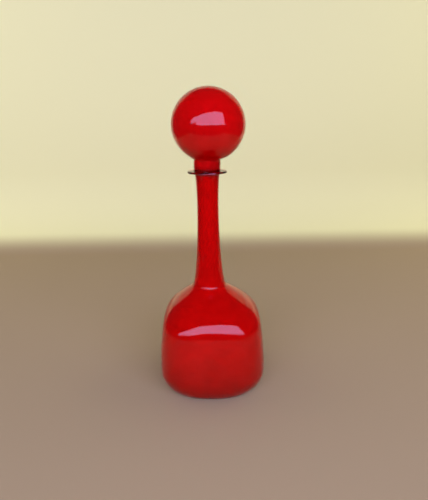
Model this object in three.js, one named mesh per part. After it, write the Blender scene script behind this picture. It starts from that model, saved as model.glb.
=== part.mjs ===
// A hand-blown bottle of cased glass with a hollow ball stopper.
// Millimetres, +Z up. The bottle stands on z = 0 with the middle of its body on the z axis,
// and its squared faces look along X and Y.

import * as THREE from 'three';

// Body: a rounded square pillow. Half widths are measured across the flat faces. The shoulder hangs
// lower at the four corners than over the faces, by cornerDrop.
const bodyHalfWidth = 56.8;
const footHalfWidth = 45.5;
const heelHeight = 21.5;
const sideRadius = 324;
const shoulderHeight = 74.1;
const shoulderFullness = 20.9;
const cornerDrop = 2;
const bodySquareness = 3.24;
const footSquareness = 2.36;

// Neck: a slim round tube with a waist. It stands a little to one side, as blown by hand.
const rootRadius = 17;
const rootHeight = 112.4;
const rootTightness = 4.9;
const rootSlope = -0.283;
const neckHeight = 230.5;
const mouthRadius = 12.3;
const mouthSlope = 0.166;
const waistPullBelow = 20.5;
const waistPullAbove = 16.9;
const neckFlare = 2.2;
const neckOffset = -1.95;

// Glass layers of the bottle, and its pushed-up base inside a flat resting ring.
const casingWall = 2;
const liningWall = 1.8;
const casingFloor = 3;
const liningFloor = 3;
const kickHeight = 4;
const restWidth = 8;

// Lip: a thin disc of clear glass on the mouth, with a half-round edge.
const lipRadius = 20;
const lipThickness = 2;

// Stopper: a hollow ball on a collar, with a hollow plug that hangs in the neck. Heights are above the lip.
// The ball is a little flatter than round. It sits to one side of its collar, and comes over by its offset
// between sagFrom and sagTop.
const ballRadius = 36.2;
const ballFlatness = 0.98;
const ballRise = 44;
const ballOffset = 1.9;
const sagFrom = 9.5;
const sagTop = 14;
const collarRadius = 13.4;
const collarFillet = 1.5;
const collarEdge = 0.8;
const plugLength = 36;
const plugClearance = 0.6;
const stopperCasingWall = 1.6;
const stopperLiningWall = 1.6;

// Facets round the bottle and round the stopper, and steps along each curve of their profiles.
const bottleSides = 36;
const stopperSides = 28;
const steps = {
  dome: 3, heel: 5, side: 3, shoulder: 10, neck: 7, flare: 3, ball: 12, fillet: 3, edge: 2, plug: 5, rim: 4,
};

const { PI, sin, cos, min } = Math;
const { smoothstep, lerp, clamp } = THREE.MathUtils;
const point = (radius, height) => new THREE.Vector2(radius, height);

/** Samples curves laid end to end, each with its own number of steps. */
function trace(stretches) {
  return stretches.flatMap(([curve, count], index) => curve.getPoints(count).slice(index ? 1 : 0));
}

/** Moves a profile into the glass by one wall. The glass lies to the left of the profile's direction. */
function inset(profile, wall) {
  const normals = profile.slice(1).map((end, index) => {
    const along = end.clone().sub(profile[index]).normalize();
    return point(-along.y, along.x);
  });
  return profile.map((start, index) => {
    const before = normals[index - 1] ?? normals[index];
    const after = normals[index] ?? normals[index - 1];
    const miter = before.clone().add(after).divideScalar(1 + before.dot(after));
    return start.clone().addScaledVector(miter, wall);
  });
}

/** How square a level of the bottle is: 2 is a circle, and more is squarer. */
function squareness(height) {
  const low = lerp(footSquareness, bodySquareness, clamp(height / heelHeight, 0, 1));
  const high = clamp((height - shoulderHeight) / (rootHeight - shoulderHeight), 0, 1);
  return lerp(low, 2, high);
}

/** A point of the bottle at a bearing, for a profile point of a radius across the flats and a height. */
function onBottle({ x: radius, y: height }, bearing) {
  const power = squareness(height);
  const corner = (Math.abs(sin(bearing)) ** power + Math.abs(cos(bearing)) ** power) ** (-1 / power);
  const intoNeck = smoothstep(height, shoulderHeight, rootHeight);
  const lean = neckOffset * intoNeck;
  const slump = smoothstep(height, heelHeight, shoulderHeight) - intoNeck;
  const drop = cornerDrop * slump * sin(2 * bearing) ** 2;
  return [radius * corner * sin(bearing) + lean, -radius * corner * cos(bearing), height - drop];
}

/** Lofts a closed solid through rounded square rings. The profile runs from the axis back to the axis. */
function loft(profile) {
  const rings = profile.slice(1, -1);
  const positions = [...onBottle(profile[0], 0), ...onBottle(profile.at(-1), 0)];
  for (const ring of rings) {
    for (let side = 0; side < bottleSides; side += 1) {
      positions.push(...onBottle(ring, (2 * PI * side) / bottleSides));
    }
  }
  const at = (ring, side) => 2 + ring * bottleSides + (side % bottleSides);
  const faces = [];
  for (let side = 0; side < bottleSides; side += 1) {
    faces.push(0, at(0, side + 1), at(0, side));
    faces.push(1, at(rings.length - 1, side), at(rings.length - 1, side + 1));
    for (let ring = 0; ring < rings.length - 1; ring += 1) {
      const corners = [at(ring, side), at(ring, side + 1), at(ring + 1, side + 1), at(ring + 1, side)];
      // Two layers that share a surface split its four-sided faces along the same diagonal.
      const climbs = rings[ring + 1].y > rings[ring].y;
      const [a, b, c, d] = climbs ? corners : [...corners.slice(1), corners[0]];
      faces.push(a, b, c, a, c, d);
    }
  }
  const geometry = new THREE.BufferGeometry();
  geometry.setAttribute('position', new THREE.Float32BufferAttribute(positions, 3));
  geometry.setIndex(faces);
  return geometry;
}

/** The floor of a layer: a low dome from the axis out to, and without, the point at its edge. */
function dome(height, edge) {
  return Array.from({ length: steps.dome }, (_, step) => {
    const share = step / steps.dome;
    return point(edge.x * share, lerp(height, edge.y, share ** 2));
  });
}

/** The bottle's outside from the foot to the top of the neck, without the flare under the lip. */
function bottleOutline() {
  const sideAngle = Math.asin((shoulderHeight - heelHeight) / sideRadius);
  const heel = new THREE.EllipseCurve(
    footHalfWidth, heelHeight, bodyHalfWidth - footHalfWidth, heelHeight, -PI / 2, 0,
  );
  const side = new THREE.EllipseCurve(
    bodyHalfWidth - sideRadius, heelHeight, sideRadius, sideRadius, 0, sideAngle,
  );
  const sideTop = side.getPoint(1);
  const sideWay = point(-sin(sideAngle), cos(sideAngle));
  const root = point(rootRadius, rootHeight);
  const rootWay = point(rootSlope, 1);
  const mouth = point(mouthRadius, neckHeight - neckFlare);
  const mouthWay = point(mouthSlope, 1);
  const shoulder = new THREE.CubicBezierCurve(
    sideTop,
    sideTop.clone().addScaledVector(sideWay, shoulderFullness),
    root.clone().addScaledVector(rootWay, -rootTightness),
    root,
  );
  const neck = new THREE.CubicBezierCurve(
    root,
    root.clone().addScaledVector(rootWay, waistPullBelow),
    mouth.clone().addScaledVector(mouthWay, -waistPullAbove),
    mouth,
  );
  return trace([[heel, steps.heel], [side, steps.side], [shoulder, steps.shoulder], [neck, steps.neck]]);
}

/** The surface one wall below the outside, from the axis over the floor and up to the neck's top. */
function bottleLayer(outline, wall, floorHeight) {
  const top = outline.at(-1);
  const straight = [...outline, point(top.x + mouthSlope * neckFlare, neckHeight)];
  const wallLine = inset(straight, wall);
  wallLine.at(-1).y = neckHeight;
  return [...dome(floorHeight, wallLine[0]), ...wallLine];
}

const outline = bottleOutline();
const flare = new THREE.EllipseCurve(
  mouthRadius + neckFlare, neckHeight - neckFlare, neckFlare, neckFlare, PI, PI / 2, true,
);
const restEdge = point(footHalfWidth - restWidth, 0);
const cove = flare.getPoints(steps.flare).slice(1);
const outerSkin = [...dome(kickHeight, restEdge), restEdge, ...outline, ...cove];
const sharedSkin = bottleLayer(outline, casingWall, kickHeight + casingFloor);
const innerSkin = bottleLayer(outline, casingWall + liningWall, kickHeight + casingFloor + liningFloor);
const boreLine = innerSkin.filter(({ y }) => y >= rootHeight);

/** The narrowest radius of the bore from a height up to the mouth. */
function boreAbove(height) {
  const next = boreLine.findIndex(({ y }) => y >= height);
  const [below, above] = [boreLine[Math.max(next - 1, 0)], boreLine[next]];
  const here = lerp(below.x, above.x, clamp((height - below.y) / (above.y - below.y || 1), 0, 1));
  return min(here, ...boreLine.slice(next).map(({ x }) => x));
}

/** A closed ring or vessel turned round its own axis, with that axis stood along Z. */
function turned(profile, sides) {
  return new THREE.LatheGeometry(profile, sides).rotateX(PI / 2);
}

/** The stopper's outside from its top to the plug's tip, with the collar's seat at height 0. */
function stopperOutline() {
  const rise = ballRise / ballFlatness;
  const reach = ballRadius + collarFillet;
  const dip = Math.asin((collarRadius + collarFillet) / reach);
  const ball = new THREE.EllipseCurve(0, rise, ballRadius, ballRadius, PI / 2, dip - PI / 2, true);
  const fillet = new THREE.EllipseCurve(
    collarRadius + collarFillet, rise - reach * cos(dip), collarFillet, collarFillet, PI / 2 + dip, PI,
  );
  const round = trace([[ball, steps.ball], [fillet, steps.fillet]]);
  return round.map(({ x, y }) => point(x, y * ballFlatness));
}

/** The plug from the seat to its tip. It keeps its clearance from the bore as it is drawn out. */
function plugLine() {
  const lipHeight = neckHeight + lipThickness;
  return Array.from({ length: steps.plug + 1 }, (_, step) => {
    const depth = (plugLength * step) / steps.plug;
    return point(boreAbove(min(lipHeight - depth, neckHeight)) - plugClearance, -depth);
  });
}

/** The surface one wall below the stopper's outside, from its top to the cut end of the plug. */
function stopperLayer(profile, wall) {
  const line = inset(profile.toReversed(), wall).toReversed();
  line[0].x = 0;
  line.at(-1).y = -plugLength;
  return line;
}

/** Slides the ball to one side of its collar, level by level, as it sagged while soft. */
function leanBall(geometry) {
  const position = geometry.getAttribute('position');
  for (let index = 0; index < position.count; index += 1) {
    const lean = ballOffset * smoothstep(position.getZ(index), sagFrom, sagTop);
    position.setX(index, position.getX(index) + lean);
  }
  return geometry;
}

const ballLine = stopperOutline();
const plug = plugLine();
const seatEdge = new THREE.EllipseCurve(
  collarRadius - collarEdge, collarEdge, collarEdge, collarEdge, 0, -PI / 2, true,
);
const stopperSkin = [...ballLine, ...seatEdge.getPoints(steps.edge), ...plug];
const sharpLine = [...ballLine, point(collarRadius, 0), ...plug];
const stopperShared = stopperLayer(sharpLine, stopperCasingWall);
const stopperInner = stopperLayer(sharpLine, stopperCasingWall + stopperLiningWall);

/** The lip's section: a flat ring, flush with the bore and round at its rim. */
function lipSection() {
  const bore = innerSkin.at(-1).x;
  const half = lipThickness / 2;
  const rim = new THREE.EllipseCurve(lipRadius - half, half, half, half, -PI / 2, PI / 2);
  return [point(bore, 0), ...rim.getPoints(steps.rim), point(bore, lipThickness), point(bore, 0)];
}

const redGlass = new THREE.MeshStandardMaterial({ color: 0xb80009, roughness: 0.06 });
const opalGlass = new THREE.MeshStandardMaterial({ color: 0xf3f0e8, roughness: 0.15 });
const clearRedGlass = new THREE.MeshStandardMaterial({
  color: 0x5a0407, roughness: 0.05, transparent: true, opacity: 0.8,
});

function named(name, geometry, material) {
  geometry.computeVertexNormals();
  const mesh = new THREE.Mesh(geometry, material);
  mesh.name = name;
  return mesh;
}

const lip = named('lip_ring', turned(lipSection(), bottleSides), clearRedGlass);
lip.position.set(neckOffset, 0, neckHeight);

const stopper = new THREE.Group();
stopper.position.set(neckOffset, 0, neckHeight + lipThickness);
stopper.add(
  named(
    'stopper_casing',
    leanBall(turned([...stopperShared, ...stopperSkin.toReversed()], stopperSides)),
    redGlass,
  ),
  named(
    'stopper_lining',
    leanBall(turned([...stopperInner, ...stopperShared.toReversed()], stopperSides)),
    opalGlass,
  ),
);

const bottle = new THREE.Group();
bottle.add(
  named('bottle_casing', loft([...outerSkin, ...sharedSkin.toReversed()]), redGlass),
  named('bottle_lining', loft([...sharedSkin, ...innerSkin.toReversed()]), opalGlass),
  lip,
  stopper,
);

export default bottle;
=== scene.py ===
"""A hand-blown bottle of cased glass with a hollow ball stopper, finished over its measured frame."""

import math

import bpy
from bpy.props import FloatProperty, FloatVectorProperty, IntProperty, PointerProperty
from mathutils import Matrix, Vector


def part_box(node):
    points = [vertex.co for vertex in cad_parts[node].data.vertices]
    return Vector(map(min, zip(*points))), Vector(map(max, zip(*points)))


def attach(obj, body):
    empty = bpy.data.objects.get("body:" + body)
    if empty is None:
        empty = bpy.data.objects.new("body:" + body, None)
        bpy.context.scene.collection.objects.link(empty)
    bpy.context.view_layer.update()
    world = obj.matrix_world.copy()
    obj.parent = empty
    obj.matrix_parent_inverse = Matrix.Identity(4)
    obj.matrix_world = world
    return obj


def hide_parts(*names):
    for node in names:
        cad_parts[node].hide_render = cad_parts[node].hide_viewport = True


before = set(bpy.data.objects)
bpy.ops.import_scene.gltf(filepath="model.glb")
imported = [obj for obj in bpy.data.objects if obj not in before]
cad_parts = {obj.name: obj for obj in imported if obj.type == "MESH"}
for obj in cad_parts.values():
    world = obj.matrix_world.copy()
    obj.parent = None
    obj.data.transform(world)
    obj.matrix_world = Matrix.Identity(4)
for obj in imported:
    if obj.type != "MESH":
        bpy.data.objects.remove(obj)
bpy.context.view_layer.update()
CASING_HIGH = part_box("bottle_casing")[1]
LINING_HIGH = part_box("bottle_lining")[1]
CORE_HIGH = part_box("stopper_lining")[1]
LIP_LOW, LIP_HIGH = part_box("lip_ring")
STOPPER_LOW, STOPPER_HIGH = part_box("stopper_casing")
BALL_RADIUS = (STOPPER_HIGH.y - STOPPER_LOW.y) / 2
NECK_OFFSET = (LIP_LOW.x + LIP_HIGH.x) / 2
# The power of a rounded square that is a circle, and the facets round each piece.
ROUND = 2.0
SIDES = 128

bl_info = {
    "name": "Cased Glass Bottle",
    "version": (1, 0, 0),
    "blender": (4, 5, 0),
    "location": "3D View > Sidebar > Glass",
    "description": "A blown bottle with a white core under red glass, and its ball stopper",
    "category": "Add Mesh",
}


def length(name, description, default):
    """A size in metres that a user may change."""
    return FloatProperty(
        name=name, description=description, default=default, min=0.0, unit="LENGTH", precision=5
    )


def tint(name, description, default):
    """A colour in linear values that a user may change."""
    return FloatVectorProperty(
        name=name, description=description, default=default, size=4, min=0.0, max=1.0, subtype="COLOR"
    )


class BottleSizes(bpy.types.PropertyGroup):
    """The bottle's own sizes. Those that the frame shows are read from it."""

    body_half_width: length("Body half width", "From the axis to a flat face, at its widest", CASING_HIGH.x)
    foot_half_width: length("Foot half width", "From the axis to the edge of the flat foot", 0.0455)
    heel_height: length("Heel height", "Height of the rounded edge under the body", 0.0215)
    side_radius: length("Side radius", "How gently the sides lean in above the heel", 0.324)
    shoulder_height: length("Shoulder height", "Where the sides turn into the shoulder", 0.0741)
    shoulder_fullness: length("Shoulder fullness", "How far the sides carry on before they turn in", 0.0209)
    corner_drop: length("Corner drop", "How much lower the shoulder hangs at the four corners", 0.002)
    root_radius: length("Root radius", "Radius where the shoulder becomes the neck", 0.017)
    root_height: length("Root height", "Height where the shoulder becomes the neck", 0.1124)
    root_tightness: length("Root tightness", "How tightly the shoulder turns up into the neck", 0.0049)
    neck_height: length("Neck height", "Height of the neck's top, under the lip", CASING_HIGH.z)
    mouth_radius: length("Mouth radius", "Outer radius of the neck under the lip", 0.0123)
    waist_below: length("Waist pull below", "How far the root's slope carries up the neck", 0.0205)
    waist_above: length("Waist pull above", "How far the mouth's slope carries down the neck", 0.0169)
    neck_flare: length("Neck flare", "Radius of the cove where the neck meets the lip", 0.0022)
    casing_wall: length("Casing wall", "Thickness of the clear red glass", CASING_HIGH.x - LINING_HIGH.x)
    lining_wall: length("Lining wall", "Thickness of the white glass", 0.0018)
    casing_floor: length("Casing floor", "Thickness of the red glass under the middle", 0.003)
    lining_floor: length("Lining floor", "Thickness of the white glass under the middle", 0.003)
    kick_height: length("Kick height", "How far the base is pushed up in the middle", 0.004)
    rest_width: length("Rest width", "Width of the flat ring that the bottle stands on", 0.008)
    body_squareness: FloatProperty(
        name="Body squareness",
        description="2 is a round body, and more is squarer",
        default=3.24,
        min=ROUND,
    )
    foot_squareness: FloatProperty(
        name="Foot squareness",
        description="2 is a round foot, and more is squarer",
        default=2.36,
        min=ROUND,
    )


class StopperSizes(bpy.types.PropertyGroup):
    """The stopper's and the lip's own sizes. Those that the frame shows are read from it."""

    ball_radius: length("Ball radius", "Outer radius of the ball", BALL_RADIUS)
    ball_height: length("Ball height", "Height of the ball's middle above the table", LIP_HIGH.z + 0.044)
    ball_flatness: FloatProperty(
        name="Ball flatness", description="The ball's height over its width", default=0.98, min=0.5, max=1.5
    )
    collar_radius: length("Collar radius", "Outer radius of the collar that sits on the lip", 0.0134)
    collar_fillet: length("Collar fillet", "Radius of the cove between collar and ball", 0.0015)
    collar_edge: length("Collar edge", "Radius of the collar's lower edge", 0.0008)
    plug_clearance: length("Plug clearance", "Gap round the plug in the bore", 0.0006)
    casing_wall: length("Casing wall", "Thickness of the stopper's red glass", STOPPER_HIGH.z - CORE_HIGH.z)
    lining_wall: length("Lining wall", "Thickness of the stopper's white glass", 0.0016)
    ball_offset: FloatProperty(
        name="Ball offset",
        description="How far the ball sits to one side of its collar",
        default=(STOPPER_LOW.x + STOPPER_HIGH.x) / 2 - NECK_OFFSET,
        unit="LENGTH",
        precision=5,
    )
    lip_radius: length("Lip radius", "Outer radius of the disc at the mouth", (LIP_HIGH.x - LIP_LOW.x) / 2)
    lip_edge: length("Lip edge", "How far the disc's rim is rounded off", 0.0004)
    lip_lean: length("Lip lean", "How far the disc's rim leans in at its top", 0.00045)


class GlassLooks(bpy.types.PropertyGroup):
    """Colours, optics and fineness of the glass, and the colours of floor and wall."""

    red_passed: tint("Red passed", "What the red glass lets through", (0.974, 0.0, 0.14, 1.0))
    red_density: FloatProperty(
        name="Red density", description="Absorption of the red glass", default=2000.0, min=0.0
    )
    lip_share: FloatProperty(
        name="Lip share", description="The lip's density over that of the red glass", default=0.6, min=0.0
    )
    # Painted shade: towards the bottom the red glass takes the lower tint, which darkens the lower body.
    # Above that it takes the unshaded tint.
    unshaded_tint: tint("Thin tint", "What passes where the red gather is thin", (1.0, 1.0, 1.0, 1.0))
    painted_shade_tint: tint("Thick tint", "What passes where the red gather is thick", (0.64, 0.55, 0.55, 1.0))
    streak_tint: tint("Streak tint", "What passes through a drawn streak", (0.97, 0.95, 0.95, 1.0))
    swell_scale: FloatProperty(
        name="Swell scale", description="Swells and dips in a metre of glass", default=26.0, min=0.0
    )
    swell_depth: length("Swell depth", "Height of the swells left by blowing", 0.0006)
    ring_depth: length("Ring depth", "Height of the fine rings left by the jacks", 0.000006)
    bending: FloatProperty(
        name="Bending", description="Refractive index of the red glass", default=1.41, min=1.0
    )
    lip_bending: FloatProperty(
        name="Lip bending", description="Refractive index of the lip", default=1.6, min=1.0
    )
    glint: tint("Glint", "Tint of what the red glass mirrors", (1.0, 1.0, 1.0, 1.0))
    lip_glint: tint("Lip glint", "Tint of what the lip mirrors", (1.0, 0.35, 0.42, 1.0))
    opal: tint("Opal", "The white core", (0.88, 0.86, 0.82, 1.0))
    opal_cloud: tint("Opal cloud", "The core where it is cloudy", (0.80, 0.775, 0.73, 1.0))
    floor: tint("Floor", "The pale floor", (0.36, 0.272, 0.155, 1.0))
    wall: tint("Wall", "The pale wall behind", (0.78, 0.755, 0.36, 1.0))
    sides: IntProperty(name="Sides", description="Facets round each piece", default=SIDES, min=16)


# Slopes of the neck where its curves join, as radius per height.
ROOT_SLOPE = -0.283
MOUTH_SLOPE = 0.166
# The layers are fused: the clear glass reaches this far into the white one, so no air shows between.
FUSED = 0.00004
# Edges that a flame has softened, and the edge of the resting ring, which the marver left rounder.
FIRE_POLISH = 0.0004
REST_EDGE = 0.002
# Heights above the lip between which the ball comes over by its offset.
SAG_FROM = 0.0095
SAG_TOP = 0.014
# The loose fit between stopper and lip.
SEAT_GAP = 0.00002
# Steps along the curves of the profiles.
DOME_STEPS = 16
HEEL_STEPS = 22
SIDE_STEPS = 14
SHOULDER_STEPS = 44
NECK_STEPS = 40
FLARE_STEPS = 8
BALL_STEPS = 72
COLLAR_STEPS = 10
COLLAR_EDGE_STEPS = 6
PLUG_STEPS = 16
REST_STEPS = 6
CORNER_STEPS = 4
# The most that a rounded corner takes of the stretch on each side of it.
CORNER_SHARE = 0.45
# Points of a lofted mesh that are closer than this are one point.
WELD = 2e-6


# Profiles: lists of (radius, height) points in metres


def arc(centre, radii, start, end, steps):
    """Points on an ellipse from one angle to another, in degrees."""
    turns = [math.radians(start + (end - start) * step / steps) for step in range(steps + 1)]
    return [
        Vector((centre[0] + radii[0] * math.cos(turn), centre[1] + radii[1] * math.sin(turn)))
        for turn in turns
    ]


def bezier(start, start_pull, end_pull, end, steps):
    """Points on a cubic curve between two points."""
    points = []
    for step in range(steps + 1):
        t = step / steps
        weights = ((1 - t) ** 3, 3 * (1 - t) ** 2 * t, 3 * (1 - t) * t**2, t**3)
        weighed = zip(weights, (start, start_pull, end_pull, end))
        points.append(sum((weight * corner for weight, corner in weighed), Vector((0, 0))))
    return points


def joined(*stretches):
    """Stretches laid end to end, each starting where the last one ends."""
    line = list(stretches[0])
    for stretch in stretches[1:]:
        line += stretch[1:]
    return line


def inset(line, wall):
    """A line moved by one wall into the glass, which lies to the left of its direction."""
    ways = [(b - a).normalized() for a, b in zip(line, line[1:])]
    normals = [Vector((-way.y, way.x)) for way in ways]
    moved = []
    for index, corner in enumerate(line):
        before = normals[max(index - 1, 0)]
        after = normals[min(index, len(normals) - 1)]
        moved.append(corner + (before + after) * (wall / (1 + before.dot(after))))
    return moved


def softened(line, corners, radius, steps=CORNER_STEPS):
    """A line whose corners, named by their index, are rounded by about a radius."""
    points = []
    for index, corner in enumerate(line):
        if index not in corners:
            points.append(corner)
            continue
        before = line[index - 1] - corner
        after = line[index + 1] - corner
        start = corner + before.normalized() * min(radius, before.length * CORNER_SHARE)
        end = corner + after.normalized() * min(radius, after.length * CORNER_SHARE)
        for step in range(steps + 1):
            t = step / steps
            points.append(start * (1 - t) ** 2 + corner * (2 * t * (1 - t)) + end * t**2)
    return points


def dome(height, edge):
    """A low dome from the axis out to, and without, the point at its edge."""
    return [
        Vector((edge.x * step / DOME_STEPS, height + (edge.y - height) * (step / DOME_STEPS) ** 2))
        for step in range(DOME_STEPS)
    ]


def bottle_outline(sizes):
    """The bottle's outside, from the edge of its foot to the start of the cove under the lip."""
    lean = math.asin((sizes.shoulder_height - sizes.heel_height) / sizes.side_radius)
    heel = arc(
        (sizes.foot_half_width, sizes.heel_height),
        (sizes.body_half_width - sizes.foot_half_width, sizes.heel_height),
        -90,
        0,
        HEEL_STEPS,
    )
    side = arc(
        (sizes.body_half_width - sizes.side_radius, sizes.heel_height),
        (sizes.side_radius, sizes.side_radius),
        0,
        math.degrees(lean),
        SIDE_STEPS,
    )
    root = Vector((sizes.root_radius, sizes.root_height))
    root_way = Vector((ROOT_SLOPE, 1))
    mouth = Vector((sizes.mouth_radius, sizes.neck_height - sizes.neck_flare))
    mouth_way = Vector((MOUTH_SLOPE, 1))
    side_way = Vector((-math.sin(lean), math.cos(lean)))
    shoulder = bezier(
        side[-1],
        side[-1] + side_way * sizes.shoulder_fullness,
        root - root_way * sizes.root_tightness,
        root,
        SHOULDER_STEPS,
    )
    neck = bezier(
        root,
        root + root_way * sizes.waist_below,
        mouth - mouth_way * sizes.waist_above,
        mouth,
        NECK_STEPS,
    )
    return joined(heel, side, shoulder, neck)


def bottle_layer(sizes, wall, floor_height):
    """The surface one wall below the outside, from the axis over the floor to the neck's top."""
    line = bottle_outline(sizes)
    top = Vector((line[-1].x + MOUTH_SLOPE * sizes.neck_flare, sizes.neck_height))
    wall_line = inset(line + [top], wall)
    wall_line[-1].y = sizes.neck_height
    return dome(floor_height, wall_line[0]) + wall_line


def bottle_skin(sizes):
    """The bottle's outside, from the axis over the pushed-up base and the flat ring to the mouth."""
    rest_edge = Vector((sizes.foot_half_width - sizes.rest_width, 0))
    cove = arc(
        (sizes.mouth_radius + sizes.neck_flare, sizes.neck_height - sizes.neck_flare),
        (sizes.neck_flare, sizes.neck_flare),
        180,
        90,
        FLARE_STEPS,
    )
    outline = bottle_outline(sizes)
    under = dome(sizes.kick_height, rest_edge) + [rest_edge, outline[0]]
    base = softened(under, {DOME_STEPS}, REST_EDGE, REST_STEPS)
    return base[:-1] + joined(outline, cove)


def bore_line(sizes):
    """The neck's inside, from its root to the mouth."""
    inside = bottle_layer(sizes, sizes.casing_wall + sizes.lining_wall, sizes.kick_height)
    return [corner for corner in inside if corner.y > sizes.root_height]


def bore_radius(sizes, height):
    """The narrowest radius of the bore from a height up to the mouth."""
    return min(corner.x for corner in bore_line(sizes) if corner.y >= height)


def stopper_outline(bottle, sizes, sharp=True):
    """The stopper's outside from its top to the plug's tip. The collar's edge is sharp or rounded."""
    seat = LIP_HIGH.z
    rise = (sizes.ball_height - seat) / sizes.ball_flatness
    reach = sizes.ball_radius + sizes.collar_fillet
    dip = math.asin((sizes.collar_radius + sizes.collar_fillet) / reach)
    ball = arc((0, rise), (sizes.ball_radius, sizes.ball_radius), 90, math.degrees(dip) - 90, BALL_STEPS)
    cove = arc(
        (sizes.collar_radius + sizes.collar_fillet, rise - reach * math.cos(dip)),
        (sizes.collar_fillet, sizes.collar_fillet),
        90 + math.degrees(dip),
        180,
        COLLAR_STEPS,
    )
    above = [Vector((p.x, seat + p.y * sizes.ball_flatness)) for p in joined(ball, cove)]
    plug = []
    for step in range(PLUG_STEPS + 1):
        height = seat + (STOPPER_LOW.z - seat) * step / PLUG_STEPS
        reached = min(height, bottle.neck_height)
        plug.append(Vector((bore_radius(bottle, reached) - sizes.plug_clearance, height)))
    if sharp:
        return above + [Vector((sizes.collar_radius, seat))] + plug
    edge = arc(
        (sizes.collar_radius - sizes.collar_edge, seat + sizes.collar_edge),
        (sizes.collar_edge, sizes.collar_edge),
        0,
        -90,
        COLLAR_EDGE_STEPS,
    )
    return above + edge + plug


def stopper_layer(bottle, sizes, wall):
    """The surface one wall below the stopper's outside, from its top to the cut end of the plug."""
    line = inset(stopper_outline(bottle, sizes)[::-1], wall)[::-1]
    line[0].x = 0.0
    line[-1].y = STOPPER_LOW.z
    return line


# Geometry Nodes: one tree lofts every piece of glass from its profile


def loft_tree(name):
    """A tree that sweeps a profile line round its axis through rounded square rings."""
    tree = bpy.data.node_groups.new(name, "GeometryNodeTree")
    face = tree.interface
    face.new_socket("Profile", in_out="INPUT", socket_type="NodeSocketGeometry")
    for label, kind, value in (
        ("Sides", "NodeSocketInt", SIDES),
        ("Body Squareness", "NodeSocketFloat", ROUND),
        ("Foot Squareness", "NodeSocketFloat", ROUND),
        ("Heel Height", "NodeSocketFloat", 0.0),
        ("Round From", "NodeSocketFloat", 0.0),
        ("Round By", "NodeSocketFloat", 1.0),
        ("Lean", "NodeSocketFloat", 0.0),
        ("Lean From", "NodeSocketFloat", 0.0),
        ("Lean By", "NodeSocketFloat", 1.0),
        ("Drop", "NodeSocketFloat", 0.0),
    ):
        face.new_socket(label, in_out="INPUT", socket_type=kind).default_value = value
    face.new_socket("Glass", in_out="INPUT", socket_type="NodeSocketMaterial")
    face.new_socket("Geometry", in_out="OUTPUT", socket_type="NodeSocketGeometry")
    given = tree.nodes.new("NodeGroupInput").outputs

    def node(kind, settings=None, **links):
        """Adds a node. Its inputs are given by name, or by number as i0, i1 and so on."""
        made = tree.nodes.new(kind)
        for key, value in (settings or {}).items():
            setattr(made, key, value)
        for key, value in links.items():
            socket = made.inputs[int(key[1:])] if key[0] == "i" and key[1:].isdigit() else made.inputs[key]
            if isinstance(value, bpy.types.NodeSocket):
                tree.links.new(value, socket)
            else:
                socket.default_value = value
        return made.outputs

    def maths(operation, first, second=0.0):
        """A number worked out from one or two others."""
        return node("ShaderNodeMath", {"operation": operation}, i0=first, i1=second)[0]

    # The grid has a column for each bearing and a ring for each point of the profile.
    count = node("GeometryNodeAttributeDomainSize", i0=given["Profile"])["Point Count"]
    columns = maths("ADD", given["Sides"], 1.0)
    grid = node("GeometryNodeMeshGrid", i0=1.0, i1=1.0, i2=columns, i3=count)["Mesh"]
    index = node("GeometryNodeInputIndex")[0]
    column = maths("FLOOR", maths("DIVIDE", maths("ADD", index, 0.5), count))
    ring = maths("SUBTRACT", index, maths("MULTIPLY", column, count))
    place = node("GeometryNodeInputPosition")[0]
    sample = node(
        "GeometryNodeSampleIndex", {"data_type": "FLOAT_VECTOR"}, i0=given["Profile"], i1=place, i2=ring
    )[0]
    parts = node("ShaderNodeSeparateXYZ", i0=sample)
    radius, height = parts["X"], parts["Z"]
    bearing = maths("MULTIPLY", maths("DIVIDE", column, given["Sides"]), math.tau)
    # Each ring is a rounded square, whose power goes from foot to body and on to a circle.
    low = node(
        "ShaderNodeMapRange", i0=height, i1=0.0, i2=given["Heel Height"], i3=given["Foot Squareness"],
        i4=given["Body Squareness"],
    )[0]
    power = node(
        "ShaderNodeMapRange", i0=height, i1=given["Round From"], i2=given["Round By"], i3=low, i4=ROUND
    )[0]
    across, along = maths("SINE", bearing), maths("COSINE", bearing)
    spread = maths(
        "ADD",
        maths("POWER", maths("ABSOLUTE", across), power),
        maths("POWER", maths("ABSOLUTE", along), power),
    )
    reach = maths("MULTIPLY", radius, maths("POWER", spread, maths("DIVIDE", -1.0, power)))
    # The glass leans to one side with height, and hangs lower at its four corners.
    lean = node(
        "ShaderNodeMapRange", {"interpolation_type": "SMOOTHSTEP"}, i0=height, i1=given["Lean From"],
        i2=given["Lean By"], i3=0.0, i4=given["Lean"],
    )[0]
    slumped = node(
        "ShaderNodeMapRange", {"interpolation_type": "SMOOTHSTEP"}, i0=height, i1=given["Heel Height"],
        i2=given["Round From"], i3=0.0, i4=given["Drop"],
    )[0]
    slumped = node(
        "ShaderNodeMapRange", {"interpolation_type": "SMOOTHSTEP"}, i0=height, i1=given["Round From"],
        i2=given["Round By"], i3=slumped, i4=0.0,
    )[0]
    cornered = maths("POWER", maths("SINE", maths("MULTIPLY", bearing, 2.0)), 2.0)
    point = node(
        "ShaderNodeCombineXYZ",
        i0=maths("ADD", maths("MULTIPLY", reach, across), lean),
        i1=maths("MULTIPLY", maths("MULTIPLY", reach, along), -1.0),
        i2=maths("SUBTRACT", height, maths("MULTIPLY", slumped, cornered)),
    )[0]
    lofted = node("GeometryNodeSetPosition", i0=grid, i2=point)[0]
    welded = node("GeometryNodeMergeByDistance", Geometry=lofted, Distance=WELD)[0]
    smooth = node("GeometryNodeSetShadeSmooth", Geometry=welded)[0]
    real = node("GeometryNodeRealizeInstances", Geometry=smooth)[0]
    dressed = node("GeometryNodeSetMaterial", Geometry=real, Material=given["Glass"])[0]
    tree.links.new(dressed, tree.nodes.new("NodeGroupOutput").inputs[0])
    return tree


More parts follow.
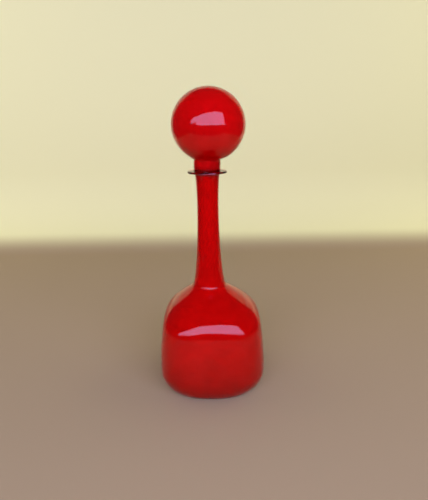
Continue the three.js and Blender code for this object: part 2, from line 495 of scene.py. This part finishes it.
def lofted(name, profile, material, shift=0.0, **inputs):
    """A plain mesh object lofted from a closed profile, with named inputs given to the tree."""
    line = bpy.data.meshes.new(name + "_profile")
    edges = [(index, index + 1) for index in range(len(profile) - 1)]
    line.from_pydata([(corner.x, 0.0, corner.y) for corner in profile], edges, [])
    maker = bpy.data.objects.new(name + "_maker", line)
    bpy.context.collection.objects.link(maker)
    tree = bpy.data.node_groups.get("Glass Loft") or loft_tree("Glass Loft")
    modifier = maker.modifiers.new("Loft", "NODES")
    modifier.node_group = tree
    named = {item.name: item.identifier for item in tree.interface.items_tree if item.in_out == "INPUT"}
    modifier[named["Glass"]] = material
    for label, value in inputs.items():
        modifier[named[label.replace("_", " ").title()]] = value
    evaluated = maker.evaluated_get(bpy.context.evaluated_depsgraph_get())
    mesh = bpy.data.meshes.new_from_object(evaluated)
    bpy.data.objects.remove(maker)
    mesh.name = name
    mesh.transform(Matrix.Translation((shift, 0.0, 0.0)))
    piece = bpy.data.objects.new(name, mesh)
    bpy.context.collection.objects.link(piece)
    return piece


# Materials

# Detail of the noise: how many finer layers lie over its widest one.
SMOOTH, SOFT, FINE = 1.5, 2.0, 4.0
# Values of the noise between which a streak, handling mark, scuff or cloud comes in.
STREAK_SPAN, MARK_SPAN = (0.40, 0.72), (0.55, 0.75)
SCUFF_SPAN, CLOUD_SPAN = (0.35, 0.65), (0.35, 0.70)
# Features in a metre of glass: streaks drawn lengthwise, handling marks, scuffs, rings and clouds.
STREAK_SCALE = 55.0
MARK_SCALE = 42.0
SCUFF_SCALE = 900.0
RING_SCALE = 420.0
CLOUD_SCALE = 38.0
# How far streaks are drawn out along the glass and rings round it.
STREAK_STRETCH = (1.0, 1.0, 0.16)
RING_STRETCH = (0.12, 0.12, 1.0)
# The glass is darkened up to here, as painted shade on the lower body, and the foot is scuffed up to here.
PAINTED_SHADE_UP_TO = 0.058
SCUFFED_UP_TO = 0.0011
# Ripples between the swells: how many times finer they are, and their share of the swells' height.
RIPPLE_FINER = 5.0
RIPPLE_SHARE = 0.06
# Roughness of polished glass at its best and under handling marks, and of the scuffed foot.
POLISHED, HANDLED = 0.004, 0.03
SCUFFED_LEAST, SCUFFED_MOST = 0.12, 0.55
# Roughness of the white glass and of the paper, and how much the paper shines.
OPAL_ROUGHNESS = 0.3
PAPER_ROUGHNESS, PAPER_SHINE = 0.8, 0.1
WHITE = (1.0, 1.0, 1.0, 1.0)


def made_once(maker):
    """Lets pieces share a material: it is built the first time, and found by its name after that."""

    def find_or_make(name, *settings):
        return bpy.data.materials.get(name) or maker(name, *settings)

    return find_or_make


class Shader:
    """A material's node tree with short ways to add and join nodes."""

    def __init__(self, name):
        self.material = bpy.data.materials.new(name)
        self.material.use_nodes = True
        self.tree = self.material.node_tree
        self.surface = self.tree.nodes["Principled BSDF"]
        self.output = self.tree.nodes["Material Output"]

    def add(self, kind, settings=None, **values):
        """Adds a node, with its settings and with values or sockets for its named inputs."""
        node = self.tree.nodes.new(kind)
        for key, value in (settings or {}).items():
            setattr(node, key, value)
        for key, value in values.items():
            self.give(node, key.replace("_", " ").title(), value)
        return node

    def give(self, node, socket, value):
        """Sets an input of a node to a value, or joins it to the socket of another node."""
        if isinstance(value, bpy.types.NodeSocket):
            self.tree.links.new(value, node.inputs[socket])
        else:
            node.inputs[socket].default_value = value

    def place(self):
        """Where on the piece a point lies."""
        return self.add("ShaderNodeTexCoord").outputs["Object"]

    def stretched(self, vector, scale):
        """A place scaled along each axis, so that what is read there is drawn out."""
        return self.add("ShaderNodeMapping", vector=vector, scale=scale).outputs["Vector"]

    def noise(self, vector, scale, detail):
        """Cloudy values from 0 to 1, with features of about 1 / scale metres."""
        return self.add("ShaderNodeTexNoise", vector=vector, scale=scale, detail=detail).outputs["Fac"]

    def maths(self, operation, first, second=0.0):
        """A number worked out from one or two others."""
        node = self.add("ShaderNodeMath", {"operation": operation})
        self.give(node, 0, first)
        self.give(node, 1, second)
        return node.outputs[0]

    def span(self, value, start, end, low, high):
        """A number that goes smoothly from low to high while the value goes from start to end."""
        node = self.add("ShaderNodeMapRange", {"interpolation_type": "SMOOTHSTEP"}, value=value)
        for socket, number in (("From Min", start), ("From Max", end), ("To Min", low), ("To Max", high)):
            node.inputs[socket].default_value = number
        return node.outputs["Result"]

    def mixed(self, blend, share, first, second):
        """The first colour with a share of the second blended in."""
        node = self.add("ShaderNodeMix", {"data_type": "RGBA", "blend_type": blend})
        for socket, value in ((0, share), (6, first), (7, second)):
            self.give(node, socket, value)
        return node.outputs[2]

    def ramp(self, value, start, end, first, second):
        """A colour that goes from the first to the second while the value goes from start to end."""
        return self.mixed("MIX", self.span(value, start, end, 0.0, 1.0), first, second)

    def multiplied(self, first, second):
        """What two tints let through, one after the other."""
        return self.mixed("MULTIPLY", 1.0, first, second)


@made_once
def ruby_glass(name, looks, density, bending, glint):
    """Clear red glass: the colour lies in its depth, and its skin shows how it was blown."""
    shader = Shader(name)
    surface = shader.surface
    surface.inputs["Transmission Weight"].default_value = 1.0
    surface.inputs["IOR"].default_value = bending
    surface.inputs["Specular Tint"].default_value = glint
    depth = shader.add("ShaderNodeVolumeAbsorption", color=looks.red_passed, density=density)
    shader.tree.links.new(depth.outputs["Volume"], shader.output.inputs["Volume"])
    place = shader.place()
    height = shader.add("ShaderNodeSeparateXYZ", vector=place).outputs["Z"]

    # The glass lets less through low down, which is painted shade on the lower body, and it is streaked
    # lengthwise.
    shaded_low = shader.ramp(height, 0.0, PAINTED_SHADE_UP_TO, looks.painted_shade_tint, looks.unshaded_tint)
    streaks = shader.noise(shader.stretched(place, STREAK_STRETCH), STREAK_SCALE, SOFT)
    streaked = shader.ramp(streaks, *STREAK_SPAN, WHITE, looks.streak_tint)
    shader.give(surface, "Base Color", shader.multiplied(shaded_low, streaked))

    # The foot is scuffed where it stands. Above it, the fire polish has a few handling marks.
    scuffs = shader.noise(place, SCUFF_SCALE, FINE)
    marks = shader.noise(place, MARK_SCALE, SOFT)
    polish = shader.span(marks, *MARK_SPAN, POLISHED, HANDLED)
    worn = shader.span(height, 0.0, SCUFFED_UP_TO, 1.0, 0.0)
    rough = shader.span(scuffs, *SCUFF_SPAN, SCUFFED_LEAST, SCUFFED_MOST)
    scuffed = shader.maths("MULTIPLY", worn, rough)
    shader.give(surface, "Roughness", shader.maths("MAXIMUM", polish, scuffed))

    # It swells and dips a little, as breath and gravity left it, with fine rings drawn round by the jacks.
    swell = shader.noise(place, looks.swell_scale, SMOOTH)
    ripple = shader.noise(place, looks.swell_scale * RIPPLE_FINER, SOFT)
    rings = shader.noise(shader.stretched(place, RING_STRETCH), RING_SCALE, SOFT)
    swollen = shader.maths("MULTIPLY", swell, looks.swell_depth)
    rippled = shader.maths("MULTIPLY", ripple, looks.swell_depth * RIPPLE_SHARE)
    ringed = shader.maths("MULTIPLY", rings, looks.ring_depth)
    relief = shader.maths("ADD", shader.maths("ADD", swollen, rippled), ringed)
    bump = shader.add("ShaderNodeBump", strength=1.0, distance=1.0, height=relief)
    shader.give(surface, "Normal", bump.outputs["Normal"])
    return shader.material


@made_once
def opal_glass(name, looks):
    """White opal glass, faintly cloudy, without a shine of its own."""
    shader = Shader(name)
    surface = shader.surface
    clouds = shader.noise(shader.place(), CLOUD_SCALE, FINE)
    shader.give(surface, "Base Color", shader.ramp(clouds, *CLOUD_SPAN, looks.opal, looks.opal_cloud))
    surface.inputs["Roughness"].default_value = OPAL_ROUGHNESS
    surface.inputs["Specular IOR Level"].default_value = 0.0
    return shader.material


@made_once
def plain_paper(name, floor, wall, wall_from):
    """Plain paper that is one pale colour on the floor and another from a height up the wall."""
    shader = Shader(name)
    height = shader.add("ShaderNodeSeparateXYZ", vector=shader.place()).outputs["Z"]
    shader.give(shader.surface, "Base Color", shader.ramp(height, 0.0, wall_from, floor, wall))
    shader.surface.inputs["Roughness"].default_value = PAPER_ROUGHNESS
    shader.surface.inputs["Specular IOR Level"].default_value = PAPER_SHINE
    return shader.material


# Operators


class GLASS_OT_bottle(bpy.types.Operator):
    """Makes the bottle's red casing and its white lining"""

    bl_idname = "glass.bottle"
    bl_label = "Bottle"

    def execute(self, context):
        sizes = context.scene.bottle_sizes
        looks = context.scene.glass_looks
        shape = {
            "sides": looks.sides,
            "body_squareness": sizes.body_squareness,
            "foot_squareness": sizes.foot_squareness,
            "heel_height": sizes.heel_height,
            "round_from": sizes.shoulder_height,
            "round_by": sizes.root_height,
            "lean": NECK_OFFSET,
            "lean_from": sizes.shoulder_height,
            "lean_by": sizes.root_height,
            "drop": sizes.corner_drop,
        }
        shared_floor = sizes.kick_height + sizes.casing_floor
        outside = bottle_skin(sizes)
        fused = bottle_layer(sizes, sizes.casing_wall + FUSED, shared_floor + FUSED)
        shared = bottle_layer(sizes, sizes.casing_wall, shared_floor)
        inner_floor = shared_floor + sizes.lining_floor
        inside = bottle_layer(sizes, sizes.casing_wall + sizes.lining_wall, inner_floor)
        red = ruby_glass("Ruby Glass", looks, looks.red_density, looks.bending, looks.glint)
        opal = opal_glass("Opal Glass", looks)
        casing = lofted("bottle_red_casing", outside + fused[::-1], red, **shape)
        lining = lofted("bottle_opal_lining", shared + inside[::-1], opal, **shape)
        for piece, node, slot in (
            (casing, "bottle_casing", "red_glass"),
            (lining, "bottle_lining", "opal_glass"),
        ):
            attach(piece, "bottle")
            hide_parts(node)
        return {"FINISHED"}


class GLASS_OT_lip(bpy.types.Operator):
    """Makes the clear disc at the mouth"""

    bl_idname = "glass.lip"
    bl_label = "Lip"

    def execute(self, context):
        bottle = context.scene.bottle_sizes
        sizes = context.scene.stopper_sizes
        looks = context.scene.glass_looks
        bore = bore_line(bottle)[-1].x
        edge = sizes.lip_edge
        top = LIP_HIGH.z - SEAT_GAP
        section = [
            (bore, LIP_LOW.z - FUSED),
            (bottle.mouth_radius, LIP_LOW.z - FUSED),
            (bottle.mouth_radius, LIP_LOW.z),
            (sizes.lip_radius - edge, LIP_LOW.z),
            (sizes.lip_radius, LIP_LOW.z + edge),
            (sizes.lip_radius - sizes.lip_lean, LIP_HIGH.z - edge),
            (sizes.lip_radius - sizes.lip_lean - edge, top),
            (bore, top),
        ]
        # The line closes on itself halfway up the bore. The corners in the neck's glass stay sharp.
        middle = (bore, (LIP_LOW.z + LIP_HIGH.z) / 2)
        corners = [Vector(corner) for corner in (middle, *section, middle)]
        in_the_neck = {2, 3}
        profile = softened(corners, set(range(1, len(corners) - 1)) - in_the_neck, FIRE_POLISH)
        density = looks.red_density * looks.lip_share
        glass = ruby_glass("Ruby Lip Glass", looks, density, looks.lip_bending, looks.lip_glint)
        lip = lofted("lip_disc", profile, glass, shift=NECK_OFFSET, sides=looks.sides)
        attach(lip, "bottle")
        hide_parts("lip_ring")
        return {"FINISHED"}


class GLASS_OT_stopper(bpy.types.Operator):
    """Makes the hollow ball stopper's red casing and white lining"""

    bl_idname = "glass.stopper"
    bl_label = "Stopper"

    def execute(self, context):
        bottle = context.scene.bottle_sizes
        sizes = context.scene.stopper_sizes
        looks = context.scene.glass_looks
        seat = LIP_HIGH.z
        shape = {
            "sides": looks.sides,
            "lean": sizes.ball_offset,
            "lean_from": seat + SAG_FROM,
            "lean_by": seat + SAG_TOP,
        }
        outside = stopper_outline(bottle, sizes, sharp=False)
        fused = stopper_layer(bottle, sizes, sizes.casing_wall + FUSED)
        shared = stopper_layer(bottle, sizes, sizes.casing_wall)
        inside = stopper_layer(bottle, sizes, sizes.casing_wall + sizes.lining_wall)
        red = ruby_glass("Ruby Glass", looks, looks.red_density, looks.bending, looks.glint)
        opal = opal_glass("Opal Glass", looks)
        casing = lofted("stopper_red_casing", fused + outside[::-1], red, shift=NECK_OFFSET, **shape)
        lining = lofted("stopper_opal_lining", inside + shared[::-1], opal, shift=NECK_OFFSET, **shape)
        for piece, node, slot in (
            (casing, "stopper_casing", "red_glass"),
            (lining, "stopper_lining", "opal_glass"),
        ):
            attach(piece, "stopper")
            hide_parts(node)
        return {"FINISHED"}


# The stage, in metres. The backdrop runs flat from near to back, bends, and stands up to tall.
SWEEP_NEAR, SWEEP_BACK, SWEEP_WIDE = 0.45, 0.46, 0.65
SWEEP_BEND, SWEEP_TALL = 0.16, 0.95
SWEEP_STEPS = 32
# The height by which the paper has taken the wall's colour.
WALL_COLOUR_FROM = 0.03
# The window: how far it is from the ball and which way it stands, its top as a share of that distance, and
# its power for each square metre.
WINDOW_DISTANCE = 0.9
WINDOW_FACING = math.radians(17.9)
WINDOW_TOP = 0.7635
WINDOW_POWER = 22.0
WINDOW_COLOUR = (0.57, 0.57, 1.0)
# Its panes: the bearings of their left and right edges in degrees, and the sill as a share of the distance.
PANES = (("side_pane", -54.0, -36.0, 0.24), ("main_pane", -36.0, 50.0, 0.0))
# Lamps that lighten the shadows, which the glass doesn't mirror: size, power and place.
FILLS = (
    ("front_fill", (2.0, 1.5), 5.0, (-0.2, -1.1, 0.5)),
    ("left_fill", (1.2, 1.05), 4.6, (-0.9, 0.25, 0.55)),
    ("right_fill", (1.2, 1.05), 6.1, (0.9, 0.25, 0.55)),
)
FILL_COLOUR = (1.0, 0.93, 0.82)
FILL_AIM = (0.0, 0.0, 0.14)
ROOM_COLOUR, ROOM_STRENGTH = (0.9, 0.92, 1.0, 1.0), 0.05
# The camera. Its focal length and the frame's height are in the photograph's pixels, its sensor's width
# in millimetres, and the rest in metres.
FOCAL_PIXELS, FRAME_PIXELS = 430.0, 500.0
SENSOR, CLIP_START = 36.0, 0.01
CAMERA_PITCH, CAMERA_ROLL = math.radians(17.125), math.radians(0.9216)
CAMERA_AT = (0.00358, -0.43371, 0.28307)


def softbox(name, size, power, colour, at, towards):
    """A rectangular lamp that shines towards a point."""
    lamp = bpy.data.lights.new(name, "AREA")
    lamp.shape = "RECTANGLE"
    lamp.size, lamp.size_y = size
    lamp.energy = power
    lamp.color = colour
    holder = bpy.data.objects.new(name, lamp)
    holder.location = at
    holder.rotation_euler = (Vector(at) - Vector(towards)).to_track_quat("Z", "Y").to_euler()
    bpy.context.collection.objects.link(holder)
    return holder


def paper_sweep(looks):
    """A sheet of paper that is floor and backdrop in one."""
    bend = arc((SWEEP_BACK, SWEEP_BEND), (SWEEP_BEND, SWEEP_BEND), -90, 0, SWEEP_STEPS)
    line = [Vector((-SWEEP_NEAR, 0))] + bend + [Vector((SWEEP_BACK + SWEEP_BEND, SWEEP_TALL))]
    corners = [(side, corner.x, corner.y) for corner in line for side in (-SWEEP_WIDE, SWEEP_WIDE)]
    faces = [(2 * row, 2 * row + 1, 2 * row + 3, 2 * row + 2) for row in range(len(line) - 1)]
    sheet = bpy.data.meshes.new("backdrop")
    sheet.from_pydata(corners, [], faces)
    sheet.shade_smooth()
    sheet.materials.append(plain_paper("Backdrop Paper", looks.floor, looks.wall, WALL_COLOUR_FROM))
    backdrop = bpy.data.objects.new("backdrop", sheet)
    bpy.context.collection.objects.link(backdrop)


def window(ball_height):
    """A window of plain panes in front of the bottle, laid out by their bearings from the ball."""
    ball = Vector((0.0, 0.0, ball_height))
    towards = Vector((math.sin(WINDOW_FACING), -math.cos(WINDOW_FACING), 0.0))
    sideways = Vector((math.cos(WINDOW_FACING), math.sin(WINDOW_FACING), 0.0))
    for name, left, right, sill in PANES:
        start, end = (
            WINDOW_DISTANCE * math.tan(math.radians(bearing) - WINDOW_FACING) for bearing in (left, right)
        )
        low, high = sill * WINDOW_DISTANCE, WINDOW_TOP * WINDOW_DISTANCE
        wide, tall = end - start, high - low
        middle = sideways * (start + end) / 2 + Vector((0, 0, (low + high) / 2))
        centre = ball + towards * WINDOW_DISTANCE + middle
        softbox(name, (wide, tall), WINDOW_POWER * wide * tall, WINDOW_COLOUR, centre, centre - towards)


def viewpoint():
    """The camera, at the photograph's viewing angle."""
    lens = bpy.data.cameras.new("camera")
    lens.sensor_width = SENSOR
    lens.lens = FOCAL_PIXELS / FRAME_PIXELS * SENSOR
    lens.clip_start = CLIP_START
    camera = bpy.data.objects.new("camera", lens)
    turn = Matrix.Rotation(math.pi / 2 - CAMERA_PITCH, 3, "X") @ Matrix.Rotation(-CAMERA_ROLL, 3, "Z")
    camera.rotation_euler = turn.to_euler()
    camera.location = CAMERA_AT
    bpy.context.collection.objects.link(camera)
    return camera


class GLASS_OT_stage(bpy.types.Operator):
    """Sets the pale floor and backdrop, the soft lamps and the camera"""

    bl_idname = "glass.stage"
    bl_label = "Stage"

    def execute(self, context):
        scene = context.scene
        paper_sweep(scene.glass_looks)
        window(scene.stopper_sizes.ball_height)
        for name, size, power, at in FILLS:
            softbox(name, size, power, FILL_COLOUR, at, FILL_AIM).visible_glossy = False
        world = bpy.data.worlds.new("room")
        world.use_nodes = True
        background = world.node_tree.nodes["Background"]
        background.inputs["Color"].default_value = ROOM_COLOUR
        background.inputs["Strength"].default_value = ROOM_STRENGTH
        scene.world = world
        scene.camera = viewpoint()
        scene.view_settings.view_transform = "Standard"
        return {"FINISHED"}


class GLASS_PT_panel(bpy.types.Panel):
    """Lists the bottle's pieces"""

    bl_idname = "GLASS_PT_panel"
    bl_label = "Cased Glass Bottle"
    bl_space_type = "VIEW_3D"
    bl_region_type = "UI"
    bl_category = "Glass"

    def draw(self, context):
        for operator in OPERATORS:
            self.layout.operator(operator.bl_idname)


SETTINGS = {"bottle_sizes": BottleSizes, "stopper_sizes": StopperSizes, "glass_looks": GlassLooks}
OPERATORS = (GLASS_OT_bottle, GLASS_OT_lip, GLASS_OT_stopper, GLASS_OT_stage)


def register():
    for made in (*SETTINGS.values(), *OPERATORS, GLASS_PT_panel):
        bpy.utils.register_class(made)
    for name, group in SETTINGS.items():
        setattr(bpy.types.Scene, name, PointerProperty(type=group))


def unregister():
    for name in SETTINGS:
        delattr(bpy.types.Scene, name)
    for made in (GLASS_PT_panel, *reversed(OPERATORS), *reversed(SETTINGS.values())):
        bpy.utils.unregister_class(made)


def main():
    """Makes every piece and the stage."""
    register()
    bpy.ops.glass.bottle()
    bpy.ops.glass.lip()
    bpy.ops.glass.stopper()
    bpy.ops.glass.stage()


if __name__ == "__main__":
    main()
